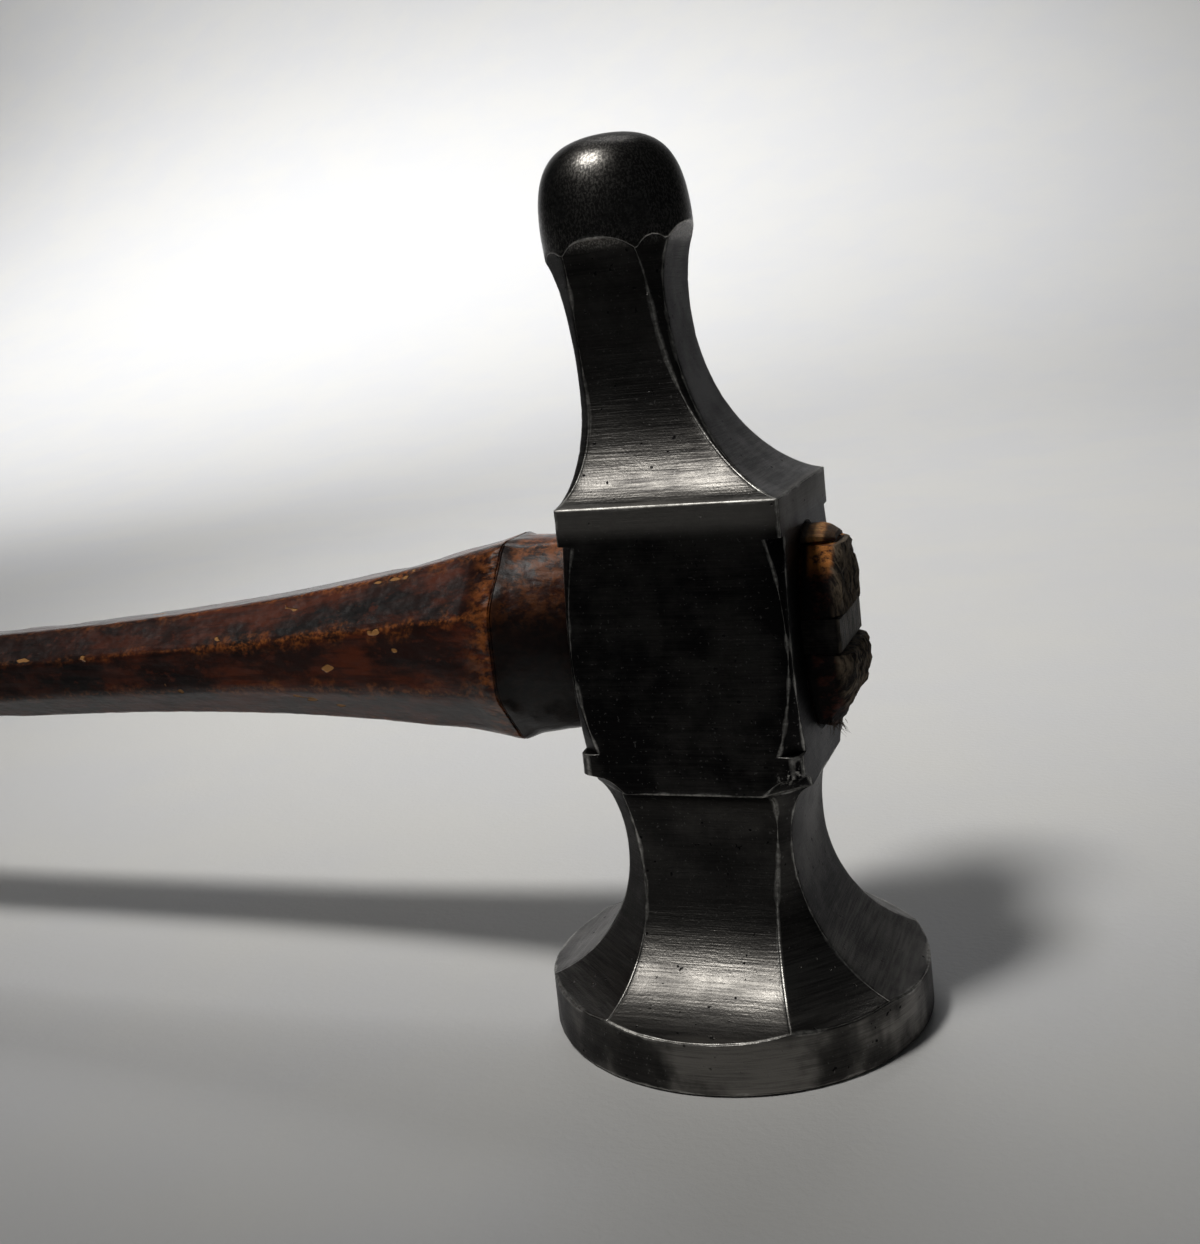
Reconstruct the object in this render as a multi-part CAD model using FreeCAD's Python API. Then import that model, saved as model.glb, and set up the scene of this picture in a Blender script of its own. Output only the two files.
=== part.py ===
import FreeCAD, Part
import math
import os

# A chasing hammer, in millimetres, standing on its striking face. The origin is the
# centre of that face, +Z runs up to the ball peen and the handle points along -X.
# The head is one steel forging with eight filed facets. The wooden handle passes
# through its oval eye, and a steel wedge and a thin wooden shim hold it there.

# Striking disc and the filed throat above it
face_radius = 16.0
face_edge_round = 0.5
rim_height = 4.2
broad_throat_height = 16.0
broad_throat = 7.1
broad_reach = 10.2
narrow_throat_height = 14.5
narrow_throat = 9.05
narrow_reach = 9.15
narrow_shift = 0.35

# Eye block: square, its four upright corners filed off between two stops
block_length = 18.3
block_width = 18.2
block_bottom = 21.5
block_height = 23.4
corner_run_out = 1.5
stop_bottom = 3.2
stop_top = 3.0
corner_cut_band = 0.5
corner_cut_bottom = 1.25
corner_cut_middle = 0.2
corner_cut_top = 0.95

# Peen neck, which leans towards the handle, and the ball
waist_height = 57.0
waist_length = 8.1
waist_width = 8.6
waist_narrow = 5.4
waist_slant = 4.2
neck_lean = 3.8
shoulder_run = 0.4
shoulder_lift = 0.055
waist_run = 0.6
flare_height = 66.2
flare_slant = 0.7
flare_broad = 6.75
flare_narrow = 6.7
flare_lean = 4.3
ball_radius = 6.33
ball_neck_radius = 6.1
ball_widest_height = 67.0
ball_top = 74.6
ball_offset = 4.15
ball_tilt = 3.0
ball_root = 5.0
ball_fullness = 0.75
crown_fullness = 0.72

# Eye and the tenon that fills it
eye_height = 16.6
eye_width = 9.4
eye_centre = 33.15
eye_softness = 0.45
tenon_stand_out = 3.3
tenon_worn = 1.5
shim_thickness = 1.2
shim_length = 15.0
shim_stand_out = 2.6
wedge_thickness = 3.1
wedge_tip = 0.6
wedge_length = 15.0
wedge_stand_out = 2.9
kerf_past_wedge = 4.0
insert_worn = 0.5

# Handle, measured back from the cheek of the block
ring_distance = 7.3
ring_height = 17.6
ring_width = 16.2
neck_distance = 88.0
neck_height = 8.6
neck_width = 8.9
neck_sharpness = 3.5
grip_distance = 180.0
grip_height = 27.0
grip_width = 23.0
handle_length = 226.0
butt_share = 0.35
handle_droop = 0.0525
grip_drop = 8.6
facet_softness = 0.16
grip_softness = 0.42

quarter_round = 0.5523
overrun = 1.0
block_top = block_bottom + block_height
cheek = block_length / 2
eye_top = eye_centre + eye_height / 2


def line(a, b):
    return Part.LineSegment(a, b).toShape()


def bezier(*poles):
    curve = Part.BezierCurve()
    curve.setPoles(list(poles))
    return curve.toShape()


def swept_face(edges, direction):
    """A closed outline pushed along a direction as a solid."""
    return Part.Face(Part.Wire(edges)).extrude(direction)


def corner_edges(place, half, sign):
    """A corner of the block, filed to a barrel-shaped flat between its two stops."""
    low = block_bottom + stop_bottom
    high = block_top - stop_top
    middle = (low + high) / 2
    band = sign * (half - corner_cut_band)
    bottom_in = place(sign * (half - corner_cut_bottom), low)
    middle_in = place(sign * (half - corner_cut_middle), middle)
    top_in = place(sign * (half - corner_cut_top), high)
    return [
        line(place(band, block_bottom + corner_run_out), place(band, low)),
        line(place(band, low), bottom_in),
        Part.Arc(bottom_in, middle_in, top_in).toShape(),
        line(top_in, place(sign * half, high)),
        line(place(sign * half, high), place(sign * half, block_top)),
    ]


def side_edges(place, lean, sign, throat, half, waist, flare, corner):
    """One side of a facet outline, from under the face to above the ball."""
    throat_half, throat_z, reach = throat
    throat_half += sign * lean * (narrow_shift if corner else 0.0)
    rim = throat_half + reach
    foot_z = block_bottom + (corner_run_out if corner else 0.0)
    foot_half = half - (corner_cut_band if corner else 0.0)
    waist_u = sign * waist - lean * neck_lean
    waist_z = waist_height + sign * lean * waist_slant
    flare_u = sign * flare - lean * flare_lean
    flare_z = flare_height + sign * lean * flare_slant
    neck_rise = waist_z - block_top
    edges = [line(place(sign * rim, -overrun), place(sign * rim, rim_height))]
    edges.append(bezier(
        place(sign * rim, rim_height),
        place(sign * (rim - quarter_round * reach), rim_height),
        place(sign * throat_half, throat_z - quarter_round * (throat_z - rim_height)),
        place(sign * throat_half, throat_z),
    ))
    edges.append(bezier(
        place(sign * throat_half, throat_z),
        place(sign * throat_half, throat_z + quarter_round * (foot_z - throat_z)),
        place(sign * (foot_half - quarter_round * (foot_half - throat_half)), foot_z),
        place(sign * foot_half, foot_z),
    ))
    if corner:
        edges += corner_edges(place, half, sign)
    else:
        edges.append(line(place(sign * half, block_bottom), place(sign * half, block_top)))
    edges.append(bezier(
        place(sign * half, block_top),
        place(sign * half + shoulder_run * (waist_u - sign * half), block_top + shoulder_lift * neck_rise),
        place(waist_u, waist_z - waist_run * neck_rise),
        place(waist_u, waist_z),
    ))
    edges.append(bezier(
        place(waist_u, waist_z),
        place(waist_u, waist_z + quarter_round * (flare_z - waist_z)),
        place(flare_u - quarter_round * (flare_u - waist_u), flare_z),
        place(flare_u, flare_z),
    ))
    edges.append(line(place(flare_u, flare_z), place(flare_u, ball_top + overrun)))
    return edges


def facet_pair(azimuth, throat, half, waist, flare, corner=False):
    """The solid between two opposite facets, which face the azimuth and away from it."""
    angle = math.radians(azimuth)
    across = FreeCAD.Vector(math.cos(angle), math.sin(angle), 0)
    along = FreeCAD.Vector(-math.sin(angle), math.cos(angle), 0)
    lean = math.cos(angle)

    def place(u, z):
        return across * u + along * (-2 * face_radius) + FreeCAD.Vector(0, 0, z)

    front = side_edges(place, lean, 1, throat, half, waist, flare, corner)
    back = side_edges(place, lean, -1, throat, half, waist, flare, corner)
    bottom = line(back[0].valueAt(back[0].FirstParameter), front[0].valueAt(front[0].FirstParameter))
    top = line(front[-1].valueAt(front[-1].LastParameter), back[-1].valueAt(back[-1].LastParameter))
    ordered = Part.__sortEdges__(front + back + [bottom, top])
    return swept_face(ordered, along * (4 * face_radius))


def revolved(edges):
    """A half outline in the XZ plane turned about Z."""
    face = Part.Face(Part.Wire(edges))
    return face.revolve(FreeCAD.Vector(0, 0, 0), FreeCAD.Vector(0, 0, 1), 360)


def turned_blank():
    """The round bar turned for the face, with the ball on its own leaning axis."""
    shelf = ball_widest_height - ball_root
    foot = FreeCAD.Vector(0, 0, 0)
    start = FreeCAD.Vector(face_radius - face_edge_round, 0, 0)
    end = FreeCAD.Vector(face_radius, 0, face_edge_round)
    turn = face_edge_round * (1 - math.sqrt(0.5))
    middle = FreeCAD.Vector(face_radius - turn, 0, turn)
    wall_top = FreeCAD.Vector(face_radius, 0, shelf)
    axis_top = FreeCAD.Vector(0, 0, shelf)
    bar = revolved([
        line(foot, start),
        Part.Arc(start, middle, end).toShape(),
        line(end, wall_top),
        line(wall_top, axis_top),
        line(axis_top, foot),
    ])
    rise = ball_widest_height - shelf
    crown = ball_top - shelf
    neck = FreeCAD.Vector(ball_neck_radius, 0, -overrun)
    widest = FreeCAD.Vector(ball_radius, 0, rise)
    apex = FreeCAD.Vector(0, 0, crown)
    base = FreeCAD.Vector(0, 0, -overrun)
    ball = revolved([
        line(base, neck),
        line(neck, widest),
        bezier(
            widest,
            FreeCAD.Vector(ball_radius, 0, rise + ball_fullness * (crown - rise)),
            FreeCAD.Vector(crown_fullness * ball_radius, 0, crown),
            apex,
        ),
        line(apex, base),
    ])
    ball.rotate(FreeCAD.Vector(0, 0, 0), FreeCAD.Vector(0, 1, 0), -ball_tilt)
    ball.translate(FreeCAD.Vector(-ball_offset, 0, shelf))
    return bar.fuse(ball)


def section(x, centre, height, width, softness):
    """A soft-cornered octagon across the handle; softness is the share each corner takes."""
    a = width / 2
    b = height / 2
    cut = 2 - math.sqrt(2)
    corners = []
    for start, turn in (((a, b), 0), ((-a, b), 1), ((-a, -b), 0), ((a, -b), 1)):
        sy = math.copysign(1, start[0])
        sz = math.copysign(1, start[1])
        on_side = FreeCAD.Vector(x, sy * a, centre + sz * (b - cut * b))
        on_top = FreeCAD.Vector(x, sy * (a - cut * a), centre + sz * b)
        corners += [on_top, on_side] if turn else [on_side, on_top]
    edges = []
    count = len(corners)
    for i in range(count):
        before = corners[i - 1]
        corner = corners[i]
        after = corners[(i + 1) % count]
        enter = corner + (before - corner) * softness
        leave = corner + (after - corner) * softness
        following = after + (corner - after) * softness
        edges.append(bezier(enter, corner, leave))
        edges.append(line(leave, following))
    return Part.Wire(edges)


def eye_core(start, end):
    """The oval of the eye, filled from one X to another."""
    face = Part.Face(section(start, eye_centre, eye_height, eye_width, eye_softness))
    return face.extrude(FreeCAD.Vector(end - start, 0, 0))


def hammer_head():
    broad = (broad_throat, broad_throat_height, broad_reach)
    narrow = (narrow_throat, narrow_throat_height, narrow_reach)
    corner_half = math.hypot(block_length, block_width) / 2
    pairs = [
        facet_pair(0, broad, block_length / 2, waist_length / 2, flare_broad),
        facet_pair(90, broad, block_width / 2, waist_width / 2, flare_broad),
        facet_pair(45, narrow, corner_half, waist_narrow, flare_narrow, True),
        facet_pair(-45, narrow, corner_half, waist_narrow, flare_narrow, True),
    ]
    head = turned_blank()
    for pair in pairs:
        head = head.common(pair)
    return head.cut(eye_core(-block_length, block_length))


def handle_size(distance):
    """Height, width, centre height and softness of the handle this far from the cheek."""
    if distance <= neck_distance:
        part = (neck_distance - distance) / (neck_distance - ring_distance)
        share = part ** neck_sharpness
        height = neck_height + (ring_height - neck_height) * share
        width = neck_width + (ring_width - neck_width) * share
    elif distance <= grip_distance:
        part = (distance - neck_distance) / (grip_distance - neck_distance)
        share = part * part * (3 - 2 * part)
        height = neck_height + (grip_height - neck_height) * share
        width = neck_width + (grip_width - neck_width) * share
    else:
        part = (distance - grip_distance) / (handle_length - grip_distance)
        share = butt_share + (1 - butt_share) * math.sqrt(max(0.0, 1 - part * part))
        height = grip_height * share
        width = grip_width * share
    reach = min(1.0, max(0.0, (distance - neck_distance) / (grip_distance - neck_distance)))
    swell = reach * reach * (3 - 2 * reach)
    centre = eye_centre - handle_droop * distance - grip_drop * swell
    softness = facet_softness + (grip_softness - facet_softness) * swell
    return height, width, centre, softness


def handle_section(distance):
    height, width, centre, softness = handle_size(distance)
    return section(-cheek - distance, centre, height, width, softness)


def handle_shaft():
    """The shaft behind the ring edge, lofted through sections back to the butt."""
    front = [ring_distance + (neck_distance - ring_distance) * i / 7 for i in range(7)]
    middle = [neck_distance + (grip_distance - neck_distance) * i / 7 for i in range(7)]
    butt = handle_length - grip_distance
    back = [grip_distance + butt * math.sin(math.radians(18 * i)) for i in range(6)]
    return Part.makeLoft([handle_section(d) for d in front + middle + back], True, False)


def wedge_solid(extra_length=0.0):
    """A flat taper driven level into the tenon's end, as wide as the eye."""
    outer = cheek + wedge_stand_out + extra_length
    inner = cheek + wedge_stand_out - wedge_length
    half_outer = wedge_thickness / 2
    half_tip = wedge_tip / 2
    half_far = half_outer + (half_outer - half_tip) * extra_length / wedge_length
    y = -eye_width
    points = [
        FreeCAD.Vector(inner, y, eye_centre - half_tip),
        FreeCAD.Vector(outer, y, eye_centre - half_far),
        FreeCAD.Vector(outer, y, eye_centre + half_far),
        FreeCAD.Vector(inner, y, eye_centre + half_tip),
    ]
    outline = Part.makePolygon(points + points[:1])
    return Part.Face(outline).extrude(FreeCAD.Vector(0, 2 * eye_width, 0))


def shim_block(extra_length=0.0):
    """The space of the shim: the top of the eye, from inside it to past the cheek."""
    outer = cheek + shim_stand_out
    corner = FreeCAD.Vector(outer - shim_length, -eye_width, eye_top - shim_thickness)
    return Part.makeBox(shim_length + extra_length, 2 * eye_width, 2 * shim_thickness, corner)


def tenon_end(stand_out, worn):
    """The eye's oval as it shows past the cheek, its outer edge worn round."""
    flat = cheek + stand_out - worn
    plain = eye_core(-cheek, flat)
    rim = section(flat, eye_centre, eye_height, eye_width, eye_softness)
    tip = section(flat + worn, eye_centre, eye_height - 2 * worn, eye_width - 2 * worn, eye_softness)
    return plain.fuse(Part.makeLoft([rim, tip], True, True))


def handle():
    taper = Part.makeLoft(
        [
            handle_section(ring_distance),
            section(-cheek, eye_centre, eye_height, eye_width, eye_softness),
        ],
        True,
        True,
    )
    past_wedge = cheek + wedge_stand_out - wedge_length
    kerf = Part.makeBox(
        kerf_past_wedge,
        2 * eye_width,
        wedge_tip,
        FreeCAD.Vector(past_wedge - kerf_past_wedge, -eye_width, eye_centre - wedge_tip / 2),
    )
    tenon = tenon_end(tenon_stand_out, tenon_worn)
    tenon = tenon.cut(wedge_solid(tenon_stand_out)).cut(kerf).cut(shim_block(tenon_stand_out))
    return handle_shaft().fuse(taper).fuse(tenon)


def steel_wedge():
    return wedge_solid().common(tenon_end(tenon_stand_out, insert_worn))


def eye_shim():
    return shim_block().common(tenon_end(shim_stand_out, insert_worn))


def write(name, shape):
    solids = shape.removeSplitter().Solids
    result = solids[0] if len(solids) == 1 else Part.makeCompound(solids)
    result.exportStep(os.path.join("parts", name + ".step"))
    box = result.BoundBox
    print(name, "solids", len(solids), "valid", result.isValid(), "volume", round(result.Volume, 1))
    print("   x %.2f %.2f  y %.2f %.2f  z %.2f %.2f" % (
        box.XMin, box.XMax, box.YMin, box.YMax, box.ZMin, box.ZMax))


os.makedirs("parts", exist_ok=True)
write("hammer_head", hammer_head())
write("handle", handle())
write("steel_wedge", steel_wedge())
write("eye_shim", eye_shim())
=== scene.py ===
import math
import random

import bmesh
import bpy
import numpy as np
from mathutils import Matrix, Vector, noise


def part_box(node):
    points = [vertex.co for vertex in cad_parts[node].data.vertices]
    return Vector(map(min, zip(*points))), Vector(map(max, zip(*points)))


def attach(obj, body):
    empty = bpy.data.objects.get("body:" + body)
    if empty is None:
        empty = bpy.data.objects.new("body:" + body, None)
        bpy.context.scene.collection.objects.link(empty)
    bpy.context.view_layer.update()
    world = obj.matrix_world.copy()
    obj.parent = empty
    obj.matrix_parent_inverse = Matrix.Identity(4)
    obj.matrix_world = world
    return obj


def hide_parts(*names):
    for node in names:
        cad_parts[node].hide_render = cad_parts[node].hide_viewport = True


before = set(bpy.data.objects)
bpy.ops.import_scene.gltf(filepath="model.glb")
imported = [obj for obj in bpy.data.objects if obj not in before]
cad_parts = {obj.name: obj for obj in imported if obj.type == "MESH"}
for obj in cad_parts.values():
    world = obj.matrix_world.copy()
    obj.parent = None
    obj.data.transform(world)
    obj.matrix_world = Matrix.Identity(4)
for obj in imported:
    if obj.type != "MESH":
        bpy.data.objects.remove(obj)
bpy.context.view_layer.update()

# ---------------------------------------------------------------------------
# The head: one tool-steel forging, turned for the round face and the ball, then
# filed to eight hollow facets, broad ones to the four sides and narrow ones on the
# corners. Old and dark, with bright lines where the arrises have been handled.

# Sizes are in mm. A facet is known by the degrees it faces, from the toe at 0.
mm = 0.001
_, head_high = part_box("hammer_head")
face_radius = head_high.x / mm
rim_height = 4.2
block_bottom = 21.5
block_top = 44.9
block_half = {0: 9.15, 90: 9.1, 180: 9.15, 270: 9.1}
corner_reach = math.hypot(block_half[0], block_half[90])
waist_half = {0: 4.05, 90: 4.3, 180: 4.05, 270: 4.3}
corner_waist = 5.4
broad_facet = {"throat": 7.1, "throat_lean": 0.0, "throat_z": 16.0, "sweep": 10.2,
               "foot_in": 0.0, "foot_up": 0.0, "flare": 6.75}
narrow_facet = {"throat": 9.05, "throat_lean": 0.35, "throat_z": 14.5, "sweep": 9.15,
                "foot_in": 0.5, "foot_up": 1.5, "flare": 6.7}

# The peen neck leans to the handle, so its waist and flare shift and tilt with the facing.
waist_z_mid, waist_tilt, waist_shift = 57.0, 4.2, 3.8
flare_z_mid, flare_tilt, flare_shift = 66.2, 0.7, 4.3
flare_overrun = 4.0
shoulder_run, shoulder_lift, waist_run = 0.4, 0.055, 0.6

# The block's corners are filed off in a shallow hollow between two stops.
stop_low = 24.7
stop_high = 41.9
corner_cut = 0.2
hollow_below, hollow_above = 1.05, 0.75
quarter_round = 0.5523
least_corner = 0.2


def bezier(p0, p1, p2, p3, count=40):
    """Points along a cubic curve, as rows of (reach, height)."""
    t = np.linspace(0.0, 1.0, count)[:, None]
    p0, p1, p2, p3 = (np.array(p, float) for p in (p0, p1, p2, p3))
    return (1 - t) ** 3 * p0 + 3 * (1 - t) ** 2 * t * p1 + 3 * (1 - t) * t * t * p2 + t ** 3 * p3


def facet_profile(facing):
    """Heights and reaches of the facet that faces this many degrees from +X, in mm."""
    narrow = facing % 90 != 0
    size = narrow_facet if narrow else broad_facet
    lean = math.cos(math.radians(facing))
    throat = size["throat"] + size["throat_lean"] * lean
    throat_z, sweep = size["throat_z"], size["sweep"]
    half = corner_reach if narrow else block_half[facing]
    foot = half - size["foot_in"]
    foot_z = block_bottom + size["foot_up"]
    waist = (corner_waist if narrow else waist_half[facing]) - waist_shift * lean
    waist_z = waist_z_mid + waist_tilt * lean
    flare = size["flare"] - flare_shift * lean
    flare_z = flare_z_mid + flare_tilt * lean
    rim = throat + sweep
    rise = waist_z - block_top
    parts = [
        bezier((rim, rim_height), (rim - quarter_round * sweep, rim_height),
               (throat, throat_z - quarter_round * (throat_z - rim_height)), (throat, throat_z)),
        bezier((throat, throat_z), (throat, throat_z + quarter_round * (foot_z - throat_z)),
               (foot - quarter_round * (foot - throat), foot_z), (foot, foot_z))[1:],
    ]
    if narrow:
        z = np.linspace(stop_low + 0.05, stop_high - 0.05, 40)
        side = (z - (stop_low + stop_high) / 2) / ((stop_high - stop_low) / 2)
        cut = corner_cut + side ** 2 * np.where(side < 0, hollow_below, hollow_above)
        parts.append(np.array([(foot, stop_low - 0.02)]))
        parts.append(np.stack([half - cut, z], 1))
        parts.append(np.array([(half, stop_high)]))
    parts.append(bezier(
        (half, block_top),
        (half + shoulder_run * (waist - half), block_top + shoulder_lift * rise),
        (waist, waist_z - waist_run * rise), (waist, waist_z)))
    parts.append(bezier((waist, waist_z), (waist, waist_z + quarter_round * (flare_z - waist_z)),
                        (flare - quarter_round * (flare - waist), flare_z), (flare, flare_z))[1:])
    parts.append(np.array([(flare + 0.01, flare_z + flare_overrun)]))
    rows = np.concatenate(parts)
    return rows[:, 1], rows[:, 0]


facings = list(range(0, 360, 45))
profiles = [facet_profile(facing) for facing in facings]
normals = np.array([(math.cos(math.radians(f)), math.sin(math.radians(f))) for f in facings])
tangents = np.stack([-normals[:, 1], normals[:, 0]], 1)
cos45 = math.sqrt(0.5)


def facet_reaches(z):
    """How far each of the eight facets stands from the upright axis at these heights."""
    reach = np.stack([np.interp(z, heights, reaches) for heights, reaches in profiles])
    for k in range(1, 8, 2):
        sharp = (reach[k - 1] + reach[(k + 1) % 8] - cos45 * least_corner) / (2 * cos45)
        reach[k] = np.minimum(reach[k], sharp)
    return reach


# Columns run up the head: close together beside each arris, then evenly across the facet.
beside = [0.0, 0.05, 0.12, 0.22, 0.36]
edge_room = 2.6
narrow_columns, broad_columns = 5, 17
columns = []
for k in range(8):
    across = narrow_columns if k % 2 else broad_columns
    shares = [i / across for i in range(1, across)]
    columns += [(k, "start", e) for e in beside]
    columns += [(k, "share", s) for s in shares]
    columns += [(k, "end", e) for e in reversed(beside[1:])]
column_facet = np.array([c[0] for c in columns])
column_count = len(columns)

# Handling has rounded each arris, with deeper nicks here and there.
arris_round, nick_depth, round_reach = 0.07, 0.16, 0.42
wander_depth = 0.03


def facet_points(z):
    """Points of every column at its own height, and how far each is from its arris."""
    reach = facet_reaches(z)
    index = np.arange(column_count)
    own = reach[column_facet, index]
    before = reach[(column_facet - 1) % 8, index]
    after = reach[(column_facet + 1) % 8, index]
    low = -(before - own * cos45) / cos45
    high = (after - own * cos45) / cos45
    width = high - low
    squeeze = np.minimum(1.0, width / (edge_room * beside[-1]))
    inner = beside[-1] * squeeze
    along = np.empty(column_count)
    for i, (k, kind, value) in enumerate(columns):
        if kind == "start":
            along[i] = low[i] + value * squeeze[i]
        elif kind == "end":
            along[i] = high[i] - value * squeeze[i]
        else:
            along[i] = low[i] + inner[i] + (width[i] - 2 * inner[i]) * value
    edge = np.minimum(along - low, high - along)
    wander = np.array([
        noise.noise(Vector((z[i] * 0.35, column_facet[i] * 7.3, 1.0))) for i in index
    ])
    nick = np.array([
        max(0.0, noise.noise(Vector((z[i] * 1.7, column_facet[i] * 3.1 + (along[i] > 0), 9.0))))
        for i in index
    ])
    near_arris = np.maximum(0.0, 1 - edge / round_reach) ** 2
    rounding = (arris_round + nick_depth * nick ** 2) * near_arris
    out = own - rounding + wander_depth * wander
    flat = normals[column_facet] * out[:, None] + tangents[column_facet] * along[:, None]
    return np.column_stack([flat, z]), edge


# The ball stands on its own axis, which leans a little further towards the handle.
ball_base = np.array([-4.15, 0.0, 62.0])
ball_lean = math.radians(3)
ball_axis = np.array([-math.sin(ball_lean), 0.0, math.cos(ball_lean)])
ball_neck, ball_radius, ball_rise = 6.1, 6.33, 12.6
ball_root, ball_fullness = 5.0, 10.7
crown_width = 4.56
ball_profile = np.concatenate([
    np.array([(ball_neck, -1.0)]),
    bezier((ball_radius, ball_root), (ball_radius, ball_fullness),
           (crown_width, ball_rise), (0.0, ball_rise), 80),
])
profile_length = np.concatenate([
    [0.0], np.cumsum(np.linalg.norm(np.diff(ball_profile, axis=0), axis=1))])


def outside_ball(points):
    offset = points - ball_base
    up = offset @ ball_axis
    radial = np.linalg.norm(offset - up[:, None] * ball_axis, axis=1)
    return radial - np.interp(up, ball_profile[:, 1], ball_profile[:, 0])


def outside_face(points):
    return np.hypot(points[:, 0], points[:, 1]) - face_radius


halvings = 30


def crossing(test, inside, outside):
    """The height at which each column passes through a turned surface."""
    inside = np.full(column_count, inside, float)
    outside = np.full(column_count, outside, float)
    for _ in range(halvings):
        middle = (inside + outside) / 2
        out = test(facet_points(middle)[0]) > 0
        outside = np.where(out, middle, outside)
        inside = np.where(out, inside, middle)
    return inside


rim_z = crossing(outside_face, 9.0, rim_height + 0.02)
ball_z = crossing(outside_ball, 62.5, 66.85)


def ease_from(start, end, count):
    """Heights that are close together at the start."""
    return [start + (end - start) * (1 - math.cos(math.pi / 2 * i / count)) for i in range(count)]


def ease_to(start, end, count):
    """Heights that are close together at the end."""
    return [start + (end - start) * math.sin(math.pi / 2 * i / count) for i in range(count)]


far_from_arris = 9.0
rows = []
edge_rows = []
arris_rows = []


def add_row(points, arris=None):
    rows.append(points)
    arris_rows.append(np.full(column_count, far_from_arris) if arris is None else arris)


rim_points, _ = facet_points(rim_z)
rim_way = rim_points[:, :2] / np.linalg.norm(rim_points[:, :2], axis=1)[:, None]
foot_round = 0.5
foot_steps = 5
for radius in (0.0, 4.0, 8.0, 12.0, 14.5):
    add_row(np.column_stack([rim_way * radius, np.zeros(column_count)]))
for i in range(foot_steps + 1):
    turn = math.pi / 2 * i / foot_steps
    radius = face_radius - foot_round + foot_round * math.sin(turn)
    height = np.full(column_count, foot_round * (1 - math.cos(turn)))
    add_row(np.column_stack([rim_way * radius, height]))
    if i == 3:
        edge_rows.append((len(rows) - 1, False))
for share in (0.12, 0.25, 0.4, 0.55, 0.7, 0.82, 0.9, 0.95, 0.98):
    add_row(np.column_stack([rim_way * face_radius, foot_round + (rim_z - foot_round) * share]))
throat_level = broad_facet["throat_z"]
for share in ease_from(0.0, 1.0, 34):
    points, arris = facet_points(rim_z + (throat_level - rim_z) * share)
    if share == 0.0:
        points[:, :2] -= 0.05 * rim_way
        edge_rows.append((len(rows), False))
    add_row(points, arris)
stop_edges = (24.68, 41.92)
levels = ease_to(throat_level, block_bottom, 18)
levels += list(np.linspace(block_bottom, 23.0, 8))
levels += [23.3, 23.8, 24.2, 24.5, 24.62, stop_edges[0], 24.76, 24.84]
levels += list(np.linspace(25.0, 41.6, 44)) + [41.76, 41.84, stop_edges[1], 42.0, 42.15]
levels += list(np.linspace(42.5, 44.3, 7)) + [44.55, 44.72, 44.82, 44.87]
for level in levels:
    if level == block_bottom:
        edge_rows.append((len(rows), False))
    if level in stop_edges:
        edge_rows.append((len(rows), True))
    add_row(*facet_points(np.full(column_count, level)))
edge_rows.append((len(rows), False))
for level in ease_from(block_top, waist_z_mid, 44):
    add_row(*facet_points(np.full(column_count, level)))
for share in ease_to(0.0, 1.0, 34):
    add_row(*facet_points(waist_z_mid + (ball_z - waist_z_mid) * share))
ball_start, _ = facet_points(ball_z)
edge_rows.append((len(rows), False))
offset = ball_start - ball_base
start_up = offset @ ball_axis
radial = offset - start_up[:, None] * ball_axis
radial /= np.linalg.norm(radial, axis=1)[:, None]
start_length = np.interp(start_up, ball_profile[:, 1], profile_length)
ball_steps = 40
for i in range(ball_steps):
    share = i / ball_steps
    length = start_length + (profile_length[-1] - start_length) * share
    up = np.interp(length, profile_length, ball_profile[:, 1])
    out = np.interp(length, profile_length, ball_profile[:, 0])
    add_row(ball_base + up[:, None] * ball_axis + out[:, None] * radial)
apex = ball_base + ball_rise * ball_axis

# Every point carries how far it is from the nearest arris, for the wear on the steel.
grid = np.array(rows)
edge_mm = np.array(arris_rows)
for row, corners_only in edge_rows:
    far = np.linalg.norm(grid - grid[row], axis=2)
    if corners_only:
        far = np.where(column_facet % 2 == 1, far, far_from_arris)
    edge_mm = np.minimum(edge_mm, far)


farthest_edge = 2.0


def grid_mesh(name, points, values, close_start, close_end):
    """A closed skin over rows of points, with a float attribute, in metres."""
    row_count, count = points.shape[:2]
    flat = points.reshape(-1, 3)
    verts = [tuple(p * mm) for p in flat]
    attribute = list(values.reshape(-1))
    faces = []
    for r in range(row_count - 1):
        for c in range(count):
            d = (c + 1) % count
            faces.append((r * count + c, r * count + d, (r + 1) * count + d, (r + 1) * count + c))
    for close, ring in ((close_start, 0), (close_end, row_count - 1)):
        centre = len(verts)
        verts.append(tuple(np.array(close) * mm))
        attribute.append(farthest_edge)
        for c in range(count):
            d = (c + 1) % count
            a, b = ring * count + c, ring * count + d
            faces.append((centre, b, a) if ring == 0 else (a, b, centre))
    mesh = bpy.data.meshes.new(name)
    mesh.from_pydata(verts, [], faces)
    layer = mesh.attributes.new("edge_mm", "FLOAT", "POINT")
    layer.data.foreach_set("value", np.minimum(attribute, farthest_edge).astype(np.float32))
    mesh.validate()
    mesh.update()
    return mesh


def new_object(name, mesh):
    thing = bpy.data.objects.new(name, mesh)
    bpy.context.scene.collection.objects.link(thing)
    return thing


def smooth_shade(thing, degrees):
    """Smooth shading, with a crease kept where the faces turn more than this."""
    mesh = thing.data
    mesh.polygons.foreach_set("use_smooth", np.ones(len(mesh.polygons), bool))
    mesh.set_sharp_from_angle(angle=math.radians(degrees))


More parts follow.
